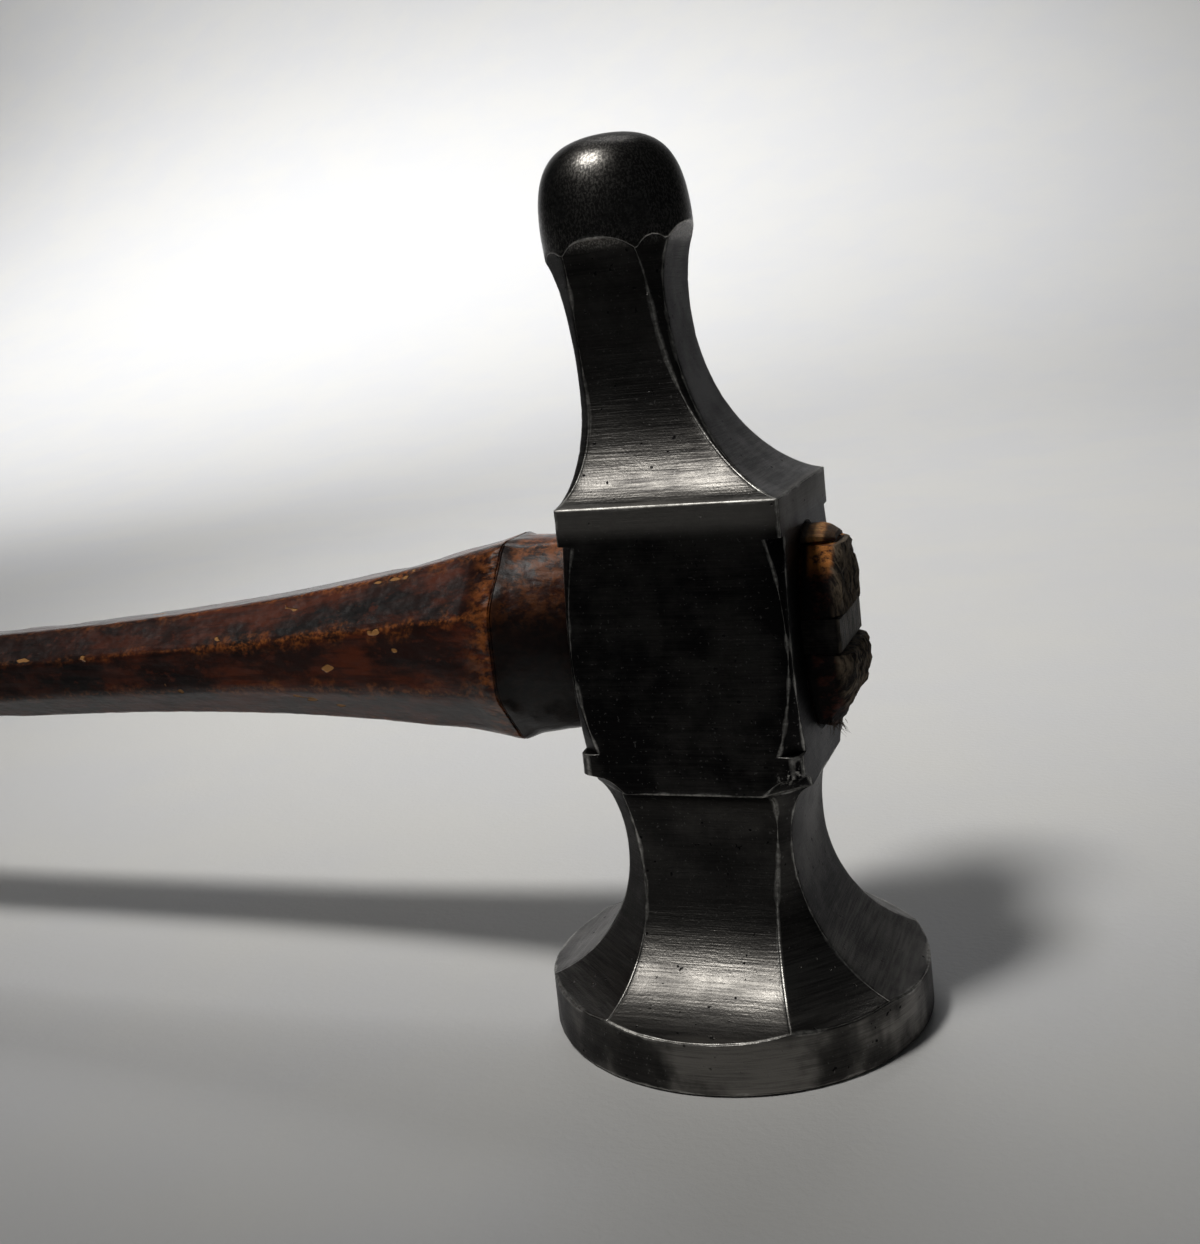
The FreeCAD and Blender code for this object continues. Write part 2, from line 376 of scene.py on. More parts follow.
def cut_away(thing, cutter):
    """Takes the cutter's space out of a piece for good."""
    step = thing.modifiers.new("cut", "BOOLEAN")
    step.object = cutter
    step.operation = "DIFFERENCE"
    step.solver = "EXACT"
    bpy.context.view_layer.update()
    shaped = bpy.data.meshes.new_from_object(
        thing.evaluated_get(bpy.context.evaluated_depsgraph_get()))
    thing.modifiers.clear()
    thing.data = shaped
    bpy.data.objects.remove(cutter)


head = new_object("hammer_head_steel", grid_mesh("head", grid[1:], edge_mm[1:], (0, 0, 0), apex))

# The eye is an oval hole along X; the same soft octagon shapes the tenon and the handle.
eye_centre = 33.15
eye_height = 16.6
eye_width = 9.4
eye_softness = 0.45
cheek = block_half[0]


def section_ring(height, width, softness, round_steps=6, flat_steps=7):
    """A soft-cornered octagon as (Y, Z) points about its middle."""
    a, b = width / 2, height / 2
    cut = 2 - math.sqrt(2)
    corners = [
        (a, b - cut * b), (a - cut * a, b), (-a + cut * a, b), (-a, b - cut * b),
        (-a, -b + cut * b), (-a + cut * a, -b), (a - cut * a, -b), (a, -b + cut * b),
    ]
    corners = [np.array(c) for c in corners]
    points = []
    for i in range(8):
        before, corner, after = corners[i - 1], corners[i], corners[(i + 1) % 8]
        enter = corner + (before - corner) * softness
        leave = corner + (after - corner) * softness
        following = after + (corner - after) * softness
        for s in range(round_steps):
            t = s / round_steps
            points.append((1 - t) ** 2 * enter + 2 * (1 - t) * t * corner + t * t * leave)
        for s in range(flat_steps):
            t = s / flat_steps
            points.append(leave * (1 - t) + following * t)
    return np.array(points)


def arris_share(round_steps=6, flat_steps=7):
    """For each point of a section ring, 0 on the arris and 1 in the middle of a flat."""
    one = [abs(s / round_steps - 0.5) * 0.6 for s in range(round_steps)]
    one += [0.3 + 0.7 * (1 - abs(2 * s / flat_steps - 1)) for s in range(flat_steps)]
    return np.array(one * 8)


def eye_plug(name, slack, mouth):
    """The space of the eye, slack wider all round and opened a little at each mouth."""
    rings = []
    outside = cheek + 1
    for x, extra in ((-outside, mouth), (-cheek, mouth), (-cheek + mouth, 0.0),
                     (cheek - mouth, 0.0), (cheek, mouth), (outside, mouth)):
        ring = section_ring(eye_height + 2 * (slack + extra), eye_width + 2 * (slack + extra),
                            eye_softness)
        rings.append(np.column_stack([np.full(len(ring), x), ring[:, 0], eye_centre + ring[:, 1]]))
    rings = np.array(rings)
    return new_object(name, grid_mesh(
        name, rings, np.full(rings.shape[:2], farthest_edge),
        (-outside, 0, eye_centre), (outside, 0, eye_centre)))


eye_slack, eye_mouth = 0.03, 0.35
cut_away(head, eye_plug("eye_space", eye_slack, eye_mouth))
smooth_shade(head, 32)


def add_node(tree, kind, label=None, **settings):
    """A shader node, its sockets given by name or by number, as values or as links."""
    node = tree.nodes.new("ShaderNode" + kind)
    if label:
        node.label = label
    sockets = settings.pop("sockets", {})
    for key, value in settings.items():
        setattr(node, key, value)
    for key, value in sockets.items():
        socket = node.inputs[key]
        if isinstance(value, bpy.types.NodeSocket):
            tree.links.new(value, socket)
        else:
            socket.default_value = value
    return node


def maths(tree, operation, first, second=0.0, third=0.0, clamp=False):
    node = add_node(tree, "Math", operation=operation, use_clamp=clamp,
                    sockets={0: first, 1: second, 2: third})
    return node.outputs[0]


def times(tree, first, second):
    return maths(tree, "MULTIPLY", first, second)


def add_share(tree, mask, amount, to):
    """Adds this amount of a mask to a value."""
    return maths(tree, "MULTIPLY_ADD", mask, amount, to)


def less(tree, whole, part, clamp=False):
    return maths(tree, "SUBTRACT", whole, part, clamp=clamp)


def ramp(tree, value, low, high, bottom=0.0, top=1.0):
    """A smooth step from one value to another while the input goes from low to high."""
    node = add_node(tree, "MapRange", interpolation_type="SMOOTHSTEP",
                    sockets={"Value": value, "From Min": low, "From Max": high,
                             "To Min": bottom, "To Max": top})
    return node.outputs["Result"]


def colour_mix(tree, share, first, second):
    node = add_node(tree, "Mix", data_type="RGBA", sockets={0: share, 6: first, 7: second})
    return node.outputs[2]


def stretched_noise(tree, place, stretch, scale, detail=3.0, roughness=0.55):
    """Noise over a place in mm, drawn out where stretch is small."""
    drawn = add_node(tree, "VectorMath", operation="MULTIPLY", sockets={0: place, 1: stretch})
    node = add_node(tree, "TexNoise", sockets={
        "Vector": drawn.outputs[0], "Scale": scale, "Detail": detail, "Roughness": roughness})
    return node.outputs["Fac"]


def distance_to(tree, place, spot):
    """How far the surface is from one spot, in mm."""
    node = add_node(tree, "VectorMath", operation="DISTANCE", sockets={0: place, 1: spot})
    return node.outputs["Value"]


def emboss(tree, shader, relief, strength=1.0, depth=mm):
    """Raises the surface by a relief given in mm."""
    bump = add_node(tree, "Bump", sockets={
        "Height": relief, "Strength": strength, "Distance": depth})
    tree.links.new(bump.outputs["Normal"], shader.inputs["Normal"])


def new_group(name, inputs, outputs):
    tree = bpy.data.node_groups.new(name, "ShaderNodeTree")
    for label, kind, value in inputs:
        socket = tree.interface.new_socket(label, in_out="INPUT", socket_type=kind)
        if value is not None:
            socket.default_value = value
    for label, kind in outputs:
        tree.interface.new_socket(label, in_out="OUTPUT", socket_type=kind)
    return tree, tree.nodes.new("NodeGroupInput").outputs, tree.nodes.new("NodeGroupOutput").inputs


# Handling wears an arris bright in a broken line, wider in some stretches than others.
worn_arris, given, put = new_group(
    "worn_arris",
    [("Edge", "NodeSocketFloat", None), ("Place", "NodeSocketVector", None),
     ("Width", "NodeSocketFloat", 0.25), ("Breakup", "NodeSocketFloat", 0.5)],
    [("Mask", "NodeSocketFloat"), ("Rounding", "NodeSocketFloat")])
coarse = stretched_noise(worn_arris, given["Place"], (1, 1, 1), 0.32, 2.0)
fine = stretched_noise(worn_arris, given["Place"], (1, 1, 1), 2.6, 3.0)
spread = add_share(worn_arris, ramp(worn_arris, coarse, 0.35, 0.68), 1.3, 0.25)
width_here = times(worn_arris, given["Width"], spread)
near = less(worn_arris, 1.0, maths(worn_arris, "DIVIDE", given["Edge"], width_here), clamp=True)
holes = times(worn_arris, ramp(worn_arris, fine, 0.62, 0.38), given["Breakup"])
broken = less(worn_arris, 1.0, holes, clamp=True)
worn_arris.links.new(maths(worn_arris, "MULTIPLY", near, broken, clamp=True), put["Mask"])
round_width, round_depth = 0.16, 0.055
into_arris = maths(worn_arris, "DIVIDE", given["Edge"], round_width)
reach_in = less(worn_arris, 1.0, into_arris, clamp=True)
worn_arris.links.new(
    times(worn_arris, times(worn_arris, reach_in, reach_in), -round_depth), put["Rounding"])

# A file drawn level across a facet leaves fine lines, and a few deeper ones.
file_marks, given, put = new_group(
    "file_marks",
    [("Place", "NodeSocketVector", None)],
    [("Height", "NodeSocketFloat"), ("Streaks", "NodeSocketFloat")])
hair = stretched_noise(file_marks, given["Place"], (0.22, 0.22, 7.0), 1.3, 4.0, 0.6)
bands = stretched_noise(file_marks, given["Place"], (0.10, 0.10, 2.2), 1.0, 3.0, 0.6)
grit = stretched_noise(file_marks, given["Place"], (1, 1, 1), 5.0, 2.0, 0.6)
height = add_share(file_marks, bands, 0.7, times(file_marks, hair, 0.55))
height = add_share(file_marks, grit, 0.45, height)
file_marks.links.new(height, put["Height"])
streaks = add_share(file_marks, hair, 0.6, times(file_marks, bands, 0.4))
file_marks.links.new(ramp(file_marks, streaks, 0.36, 0.66), put["Streaks"])

# Old steel is never one grey: soft clouds, small dark pits and a few pale specks.
old_stain, given, put = new_group(
    "old_stain",
    [("Place", "NodeSocketVector", None), ("Size", "NodeSocketFloat", 1.0)],
    [("Clouds", "NodeSocketFloat"), ("Pits", "NodeSocketFloat"), ("Specks", "NodeSocketFloat")])
cloud_scale = maths(old_stain, "DIVIDE", 0.16, given["Size"])
clouds = stretched_noise(old_stain, given["Place"], (1, 1, 1), cloud_scale, 5.0, 0.62)
old_stain.links.new(ramp(old_stain, clouds, 0.36, 0.66), put["Clouds"])
pit_noise = stretched_noise(old_stain, given["Place"], (1, 1, 1), 1.9, 1.0, 0.4)
old_stain.links.new(ramp(old_stain, pit_noise, 0.735, 0.79), put["Pits"])
speck_noise = stretched_noise(old_stain, given["Place"], (1, 1, 1), 4.2, 1.0, 0.4)
old_stain.links.new(ramp(old_stain, speck_noise, 0.68, 0.74), put["Specks"])


def group_node(tree, group, **sockets):
    node = tree.nodes.new("ShaderNodeGroup")
    node.node_tree = group
    for key, value in sockets.items():
        if isinstance(value, bpy.types.NodeSocket):
            tree.links.new(value, node.inputs[key])
        else:
            node.inputs[key].default_value = value
    return node.outputs


def new_material(name):
    """A material with its place in mm and its distance from the nearest arris in mm."""
    material = bpy.data.materials.new(name)
    material.use_nodes = True
    tree = material.node_tree
    shader = tree.nodes["Principled BSDF"]
    coords = add_node(tree, "TexCoord")
    place = add_node(tree, "VectorMath", operation="SCALE",
                     sockets={0: coords.outputs["Object"], "Scale": 1 / mm}).outputs[0]
    edge = add_node(tree, "Attribute", attribute_name="edge_mm").outputs["Fac"]
    return material, tree, shader, place, edge


def head_steel():
    """Dark old tool steel: filed facets, bright worn arrises, a smooth scuffed ball."""
    material, tree, shader, place, edge = new_material("dark_filed_steel")
    parts = add_node(tree, "SeparateXYZ", sockets={0: place}).outputs
    black_steel = (0.012, 0.0115, 0.012, 1)
    filed_steel = (0.21, 0.20, 0.185, 1)
    pale_speck = (0.16, 0.155, 0.15, 1)
    rubbed_steel = (0.60, 0.585, 0.55, 1)
    # Centre of the painted highlight on the front of the rim.
    rim_highlight_spot = (3.0, -16.0, 2.0)
    bruised_ledge = (8.3, -8.6, 22.9)

    def level(low, high, *ends):
        """A step between two heights on the head."""
        return ramp(tree, parts["Z"], low, high, *ends)

    worn = group_node(tree, worn_arris, Edge=edge, Place=place, Width=0.22, Breakup=0.6)
    marks = group_node(tree, file_marks, Place=place)
    stain = group_node(tree, old_stain, Place=place, Size=1.0)
    on_ball = level(64.9, 65.7)
    pits = times(tree, stain["Pits"], less(tree, 1.0, on_ball))
    specks = times(tree, stain["Specks"], less(tree, 0.5, on_ball, clamp=True))
    on_rim = level(4.6, rim_height)
    low_flare = times(tree, level(rim_height, 4.9), level(11.5, 7.0))
    high_flare = times(tree, level(44.7, 45.0), level(52.5, 47.0))
    flare = maths(tree, "ADD", low_flare, high_flare, clamp=True)
    top_band = times(tree, level(42.0, 43.6), level(45.2, block_top))

    clean = add_share(tree, stain["Clouds"], 0.20, 0.055)
    clean = add_share(tree, marks["Streaks"], add_share(tree, flare, 0.45, 0.08), clean)
    clean = add_share(tree, low_flare, 0.20, clean)
    clean = add_share(tree, high_flare, 0.02, clean)
    # Painted shade: the toe side above the rim is darkened in colour for the shade it stands in.
    toe_side_painted_shade = times(tree, ramp(tree, parts["X"], 7.0, 9.0), level(54.0, 44.0))
    clean = add_share(tree, times(tree, toe_side_painted_shade, level(5.0, 9.0)), -0.14, clean)
    clean = add_share(tree, top_band, 0.60, clean)
    ball_scuff = stretched_noise(tree, place, (1.0, 1.0, 0.55), 6.5, 4.0, 0.7)
    ball_tone = add_share(tree, ramp(tree, ball_scuff, 0.46, 0.62), 0.90, 0.10)
    clean = add_share(tree, on_ball, ball_tone, clean)
    # The rim's blotches are stains; the lighter patch at its front is a painted highlight.
    rim_highlight_reach = distance_to(tree, place, rim_highlight_spot)
    rim_blotch_and_highlight = stretched_noise(tree, place, (1.0, 1.0, 0.8), 0.16, 4.0, 0.6)
    rim_blotch_and_highlight = maths(tree, "ADD", rim_blotch_and_highlight, ramp(tree, rim_highlight_reach, 8.5, 3.0, -0.03, 0.10))
    rim_tone = add_share(tree, ramp(tree, rim_blotch_and_highlight, 0.42, 0.64), 0.66, 0.02)
    rim_tone = times(tree, rim_tone, add_share(tree, marks["Streaks"], 0.7, 0.65))
    clean = add_share(tree, on_rim, rim_tone, clean)
    cheek_grime = times(tree, level(20.0, 22.5), level(43.4, 41.0))
    clean = add_share(tree, cheek_grime, -0.10, clean)
    clean = maths(tree, "MULTIPLY_ADD", pits, -0.5, clean, clamp=True)
    colour = colour_mix(tree, clean, black_steel, filed_steel)
    colour = colour_mix(tree, specks, colour, pale_speck)
    ledge = distance_to(tree, place, bruised_ledge)
    bruise_noise = stretched_noise(tree, place, (1, 1, 1), 2.6, 3.0, 0.6)
    bruise = times(tree, ramp(tree, ledge, 1.5, 0.6), ramp(tree, bruise_noise, 0.52, 0.62))
    bright = maths(tree, "MAXIMUM", worn["Mask"], bruise)
    colour = colour_mix(tree, bright, colour, rubbed_steel)
    tree.links.new(colour, shader.inputs["Base Color"])
    shader.inputs["Metallic"].default_value = 1.0
    shader.inputs["Specular Tint"].default_value = (0.70, 0.70, 0.71, 1)

    rough = add_share(tree, stain["Clouds"], -0.08, 0.46)
    rough = add_share(tree, on_ball, -0.13, rough)
    rough = add_share(tree, top_band, 0.12, rough)
    rough = add_share(tree, flare, -0.06, rough)
    rough = maths(tree, "MULTIPLY_ADD", pits, 0.2, rough, clamp=True)
    tree.links.new(rough, shader.inputs["Roughness"])

    strength = add_share(tree, on_ball, -0.030, 0.042)
    relief = times(tree, marks["Height"], strength)
    relief = add_share(tree, times(tree, on_ball, ball_scuff), 0.016, relief)
    relief = add_share(tree, pits, -0.03, relief)
    relief = add_share(tree, bruise, 0.08, relief)
    relief = maths(tree, "ADD", relief, worn["Rounding"])
    emboss(tree, shader, relief)
    return material


head.data.materials.clear()
head.data.materials.append(head_steel())
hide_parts("hammer_head")
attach(head, "root")

# ---------------------------------------------------------------------------
# The handle: one piece of hardwood, drawn down to a thin springy neck, faceted with a
# spokeshave and left octagonal, swelling to the grip. Its front is cut to the eye's
# oval, sawn across for the wedge, and stands out of the far cheek as raw end grain.

ring_distance = 7.3
neck_distance = 88.0
grip_distance = 180.0
neck_height, neck_width = 8.6, 8.9
ring_height_more, ring_width_more = 9.0, 7.3
grip_height_more, grip_width_more = 18.4, 14.1
grip_height, grip_width = 27.0, 23.0
neck_taper = 3.5
handle_droop = 0.0525
grip_drop = 8.6
neck_softness, grip_softness_more = 0.16, 0.26
handle_low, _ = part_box("handle")
handle_length = -handle_low.x / mm - cheek


def smooth(share):
    share = min(1.0, max(0.0, share))
    return share * share * (3 - 2 * share)


def handle_size(distance):
    """Height, width, centre height and softness of the handle this far behind the cheek."""
    swell = smooth((distance - neck_distance) / (grip_distance - neck_distance))
    if distance <= neck_distance:
        share = ((neck_distance - distance) / (neck_distance - ring_distance)) ** neck_taper
        height = neck_height + ring_height_more * share
        width = neck_width + ring_width_more * share
    elif distance <= grip_distance:
        height = neck_height + grip_height_more * swell
        width = neck_width + grip_width_more * swell
    else:
        part = (distance - grip_distance) / (handle_length - grip_distance)
        share = 0.35 + 0.65 * math.sqrt(max(0.0, 1 - part * part))
        height, width = grip_height * share, grip_width * share
    centre = eye_centre - handle_droop * distance - grip_drop * swell
    return height, width, centre, neck_softness + grip_softness_more * swell


ring_arris = arris_share()
handle_rows = []
handle_values = []


def handle_ring(x, ring, centre, roughness=0.0):
    """Adds one section; roughness is how deep the dents of use go there, in mm."""
    points = []
    for y, z in ring:
        reach = math.hypot(y, z)
        place = Vector((x * 0.16, y * 0.3, z * 0.3))
        dent = max(0.0, noise.noise(place) - 0.18) * 1.2 + 0.3 * abs(noise.noise(place * 4.0))
        shrink = 1 - roughness * dent / max(reach, 1.0)
        points.append((x, y * shrink, centre + z * shrink))
    handle_rows.append(points)
    handle_values.append(ring_arris * farthest_edge)


butt = handle_length - grip_distance
distances = [grip_distance + butt * math.sin(math.radians(90 - 6 * i)) for i in range(15)]
distances += list(np.linspace(grip_distance, 60.0, 90))
distances += list(np.linspace(58.5, ring_distance + 0.6, 54))
distances += [ring_distance + 0.3, ring_distance + 0.1]
grip_dents, taper_dents, tenon_dents, end_dents = 0.3, 0.22, 0.12, 0.15
for distance in distances:
    height, width, centre, softness = handle_size(distance)
    handle_ring(-cheek - distance, section_ring(height, width, softness), centre, grip_dents)
height, width, centre, softness = handle_size(ring_distance)
ring_section = section_ring(height, width, softness)
soft_section = section_ring(height, width, eye_softness)
eye_section = section_ring(eye_height, eye_width, eye_softness)
for share in [0.0, 0.02] + list(np.linspace(0.06, 0.96, 18)):
    eased = smooth(share / 0.2)
    soft_ring = ring_section * (1 - eased) + soft_section * eased
    blend_ring = soft_ring * (1 - share) + eye_section * share
    worn = 0.985 if share == 0.0 else 1.0
    handle_ring(-cheek - ring_distance * (1 - share), blend_ring * worn,
                centre * (1 - share) + eye_centre * share,
                taper_dents if share < 0.9 else 0.0)
for x in (-cheek - 0.05, -cheek + 0.6, 0.0, cheek - 0.6):
    handle_ring(x, eye_section, eye_centre)
tenon_out = 3.3
tenon_round, tenon_inset = 1.5, 1.3
tenon_spread = 0.03
round_rows = 6


def mushroom(x, ring):
    """The tenon's end, driven out a little wider than the eye by the wedge."""
    push = smooth((x - cheek) / 2.0) * tenon_spread
    return ring * (1 + push)


for x in np.linspace(cheek, cheek + tenon_out - tenon_round, 8):
    handle_ring(x, mushroom(x, eye_section), eye_centre, tenon_dents)
for i in range(1, round_rows + 1):
    turn = math.pi / 2 * i / round_rows
    x = cheek + tenon_out - tenon_round + tenon_round * math.sin(turn)
    inset = tenon_inset * (1 - math.cos(turn))
    ring = section_ring(eye_height - 2 * inset, eye_width - 2 * inset, eye_softness)
    handle_ring(x, mushroom(x, ring), eye_centre, end_dents)
cap_x = cheek + tenon_out
cap_ring = np.array(handle_rows[-1])[:, 1:] - np.array([0.0, eye_centre])
cap_rows = 15
for i in range(1, cap_rows):
    share = 1 - i / cap_rows
    handle_ring(cap_x, cap_ring * share, eye_centre)

# The end grain is torn into upright ridges; its lower lip stands out, its foot is chewed back.
torn_from, torn_run = 0.8, 2.2
ridge_height, pit_depth, lip_out, sunk, foot_back = 0.32, 0.25, 0.45, 0.1, 1.9
lip_z, foot_z = 31.8, 29.4
handle_grid = np.array(handle_rows)
torn = handle_grid[:, :, 0] > cheek + torn_from
for r, c in zip(*np.nonzero(torn)):
    x, y, z = handle_grid[r, c]
    depth = smooth((x - cheek - torn_from) / torn_run)
    ridge = noise.noise(Vector((y * 1.9, z * 0.55, 3.0)))
    ridge += 0.6 * noise.noise(Vector((y * 5.0, z * 1.6, 8.0)))
    lower = smooth((lip_z - z) / 0.6)
    pit = pit_depth * max(0.0, noise.noise(Vector((y * 2.2, z * 2.2, 20.0))))
    chewed = smooth((foot_z - z) / 4.6)
    out = ridge_height * ridge - pit + lip_out * lower - sunk - foot_back * chewed
    handle_grid[r, c, 0] = x + depth * out
front_tip = (handle_grid[-1, :, 0].mean(), 0.0, eye_centre)
handle = new_object("handle_hardwood", grid_mesh(
    "handle", handle_grid, np.array(handle_values),
    (-cheek - handle_length, 0, handle_size(handle_length)[2]), front_tip))


# A few fibres have frayed out of the tenon's lower end.
fibre_dice = random.Random(7)
fibre_count = 34
fibre_joints = 5
fibre_radius = 0.035
fibre_curl = 0.45
fibre_verts = []
fibre_faces = []
for f in range(fibre_count):
    root = Vector((cheek + fibre_dice.uniform(0.9, 1.9), fibre_dice.uniform(-2.6, -0.4), 0.0))
    root.z = eye_centre - eye_height / 2 + fibre_dice.uniform(0.1, 0.5)
    root.z += 0.35 * abs(root.y) ** 1.3 / 2
    aim = Vector((fibre_dice.uniform(-0.5, 0.9), fibre_dice.uniform(-0.5, 0.4), -1.0)).normalized()
    curl = Vector((fibre_dice.uniform(-1, 1), fibre_dice.uniform(-1, 1),
                   fibre_dice.uniform(-0.2, 0.7)))
    length = fibre_dice.uniform(0.5, 1.5)
    first = len(fibre_verts)
    for k in range(fibre_joints + 1):
        share = k / fibre_joints
        centre_line = root + aim * (length * share)
        centre_line += curl * (fibre_curl * length * share * share)
        thick = fibre_radius * (1 - 0.8 * share)
        for q in range(3):
            turn = 2 * math.pi * q / 3
            side = Vector((math.cos(turn), math.sin(turn), 0))
            fibre_verts.append(tuple((centre_line + side * thick) * mm))
    for k in range(fibre_joints):
        for q in range(3):
            low, high = first + 3 * k, first + 3 * k + 3
            fibre_faces.append((low + q, low + (q + 1) % 3, high + (q + 1) % 3, high + q))
    fibre_faces.append((first + 2, first + 1, first))
    tip = first + 3 * fibre_joints
    fibre_faces.append((tip, tip + 1, tip + 2))
fibre_mesh = bpy.data.meshes.new("frayed_fibres")
fibre_mesh.from_pydata(fibre_verts, [], fibre_faces)
fibres = new_object("frayed_fibres", fibre_mesh)


# The saw kerf runs on behind the wedge's seat, which is cut level across the tenon.
wedge_low, wedge_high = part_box("steel_wedge")
wedge_tip_x = wedge_low.x / mm
wedge_end_x = wedge_high.x / mm


def prism(name, outline, y_from, y_to):
    """A closed block with an (X, Z) outline, across the handle."""
    count = len(outline)
    verts = [(x * mm, y * mm, z * mm) for y in (y_from, y_to) for x, z in outline]
    faces = [tuple(range(count)), tuple(range(2 * count - 1, count - 1, -1))]
    faces += [(i, i + count, (i + 1) % count + count, (i + 1) % count) for i in range(count)]
    mesh = bpy.data.meshes.new(name)
    mesh.from_pydata(verts, [], faces)
    bm = bmesh.new()
    bm.from_mesh(mesh)
    bmesh.ops.recalc_face_normals(bm, faces=bm.faces)
    bm.to_mesh(mesh)
    bm.free()
    return new_object(name, mesh)


kerf_half, wedge_swell = 0.3, 1.25


def wedge_half(x):
    """Half the wedge's thickness here, from its thin tip to its driven end."""
    return kerf_half + wedge_swell * (x - wedge_tip_x) / (wedge_end_x - wedge_tip_x)


seat_gap = 0.05
far_x = wedge_end_x + 4
kerf_end_x = wedge_tip_x - 4
past_tenon = 9
kerf_low, kerf_high = eye_centre - kerf_half, eye_centre + kerf_half
cut_away(handle, prism("wedge_seat", [
    (kerf_end_x, kerf_low), (wedge_tip_x, kerf_low),
    (far_x, eye_centre - wedge_half(far_x) - seat_gap),
    (far_x, eye_centre + wedge_half(far_x) + seat_gap),
    (wedge_tip_x, kerf_high), (kerf_end_x, kerf_high)], -past_tenon, past_tenon))

# The shim's seat falls away towards the front, which opens the crack under the sliver.
shim_low, shim_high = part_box("eye_shim")
shim_floor = shim_low.z / mm
shim_back_x = shim_low.x / mm - 0.02
seat_top = shim_floor + 6
cut_away(handle, prism("shim_seat", [
    (shim_back_x, shim_floor - 0.04), (far_x, shim_floor - 0.22),
    (far_x, seat_top), (shim_back_x, seat_top)], -past_tenon, past_tenon))

# The cuts leave splinters too thin to see, so points this close together are merged.
sliver = 0.002 * mm
skin = bmesh.new()
skin.from_mesh(handle.data)
bmesh.ops.remove_doubles(skin, verts=skin.verts, dist=sliver)
bmesh.ops.dissolve_degenerate(skin, dist=sliver, edges=skin.edges)
skin.to_mesh(handle.data)
skin.free()
smooth_shade(handle, 40)


